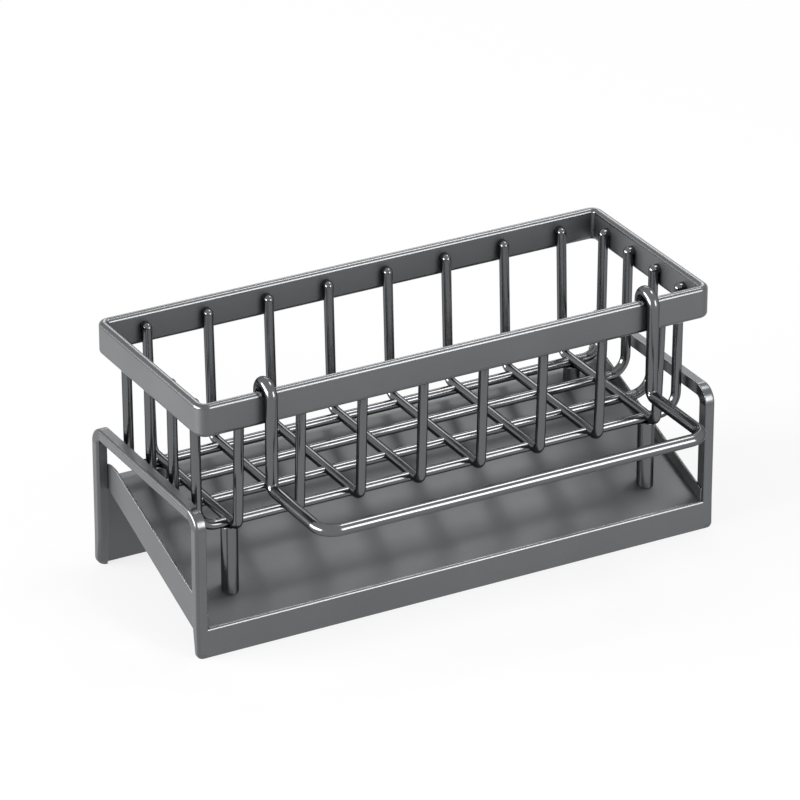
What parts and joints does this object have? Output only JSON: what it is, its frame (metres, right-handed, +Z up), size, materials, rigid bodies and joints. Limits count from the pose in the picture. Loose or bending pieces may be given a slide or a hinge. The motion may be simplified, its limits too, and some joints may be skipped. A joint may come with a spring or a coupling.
{
  "type": "sink caddy",
  "caption": "Wire basket with a flat band rim and a hooked towel bar, standing on a sloped drain tray between two side frames.",
  "frame": {"origin": "on the counter, under the middle of the whole caddy with its towel bar", "axes": "+X along the caddy to its right, +Y from the towel bar at the front to the back panel, +Z up"},
  "size_m": [0.255, 0.1512, 0.1236],
  "materials": {
    "stand_steel": "satin gunmetal grey sheet",
    "rim_steel": "satin gunmetal grey band",
    "wire_steel": "glossier gunmetal grey wire",
    "leg_steel": "satin gunmetal grey rod",
    "bar_steel": "glossier gunmetal grey rod"
  },
  "bodies": {
    "stand": {"drain_tray": "stand_steel", "left_side_wall": "stand_steel", "right_side_wall": "stand_steel", "left_side_frame": "stand_steel", "right_side_frame": "stand_steel"},
    "basket": {"basket_rim": "rim_steel", "cross_wire_1": "wire_steel", "cross_wire_2": "wire_steel", "cross_wire_3": "wire_steel", "cross_wire_4": "wire_steel", "cross_wire_5": "wire_steel", "cross_wire_6": "wire_steel", "cross_wire_7": "wire_steel", "cross_wire_8": "wire_steel", "long_wire_1": "wire_steel", "long_wire_2": "wire_steel", "long_wire_3": "wire_steel", "long_wire_4": "wire_steel", "front_left_leg": "leg_steel", "front_right_leg": "leg_steel", "back_left_leg": "leg_steel", "back_right_leg": "leg_steel"},
    "towel_bar": {"towel_bar": "bar_steel"}
  },
  "joints": [
    {"name": "basket_lift", "type": "slide", "parent": "stand", "child": "basket", "axis": [0, 0, 1], "range_m": [0, 0.06]},
    {"name": "towel_bar_lift", "type": "slide", "parent": "basket", "child": "towel_bar", "axis": [0, 0, 1], "range_m": [0, 0.022]}
  ]
}
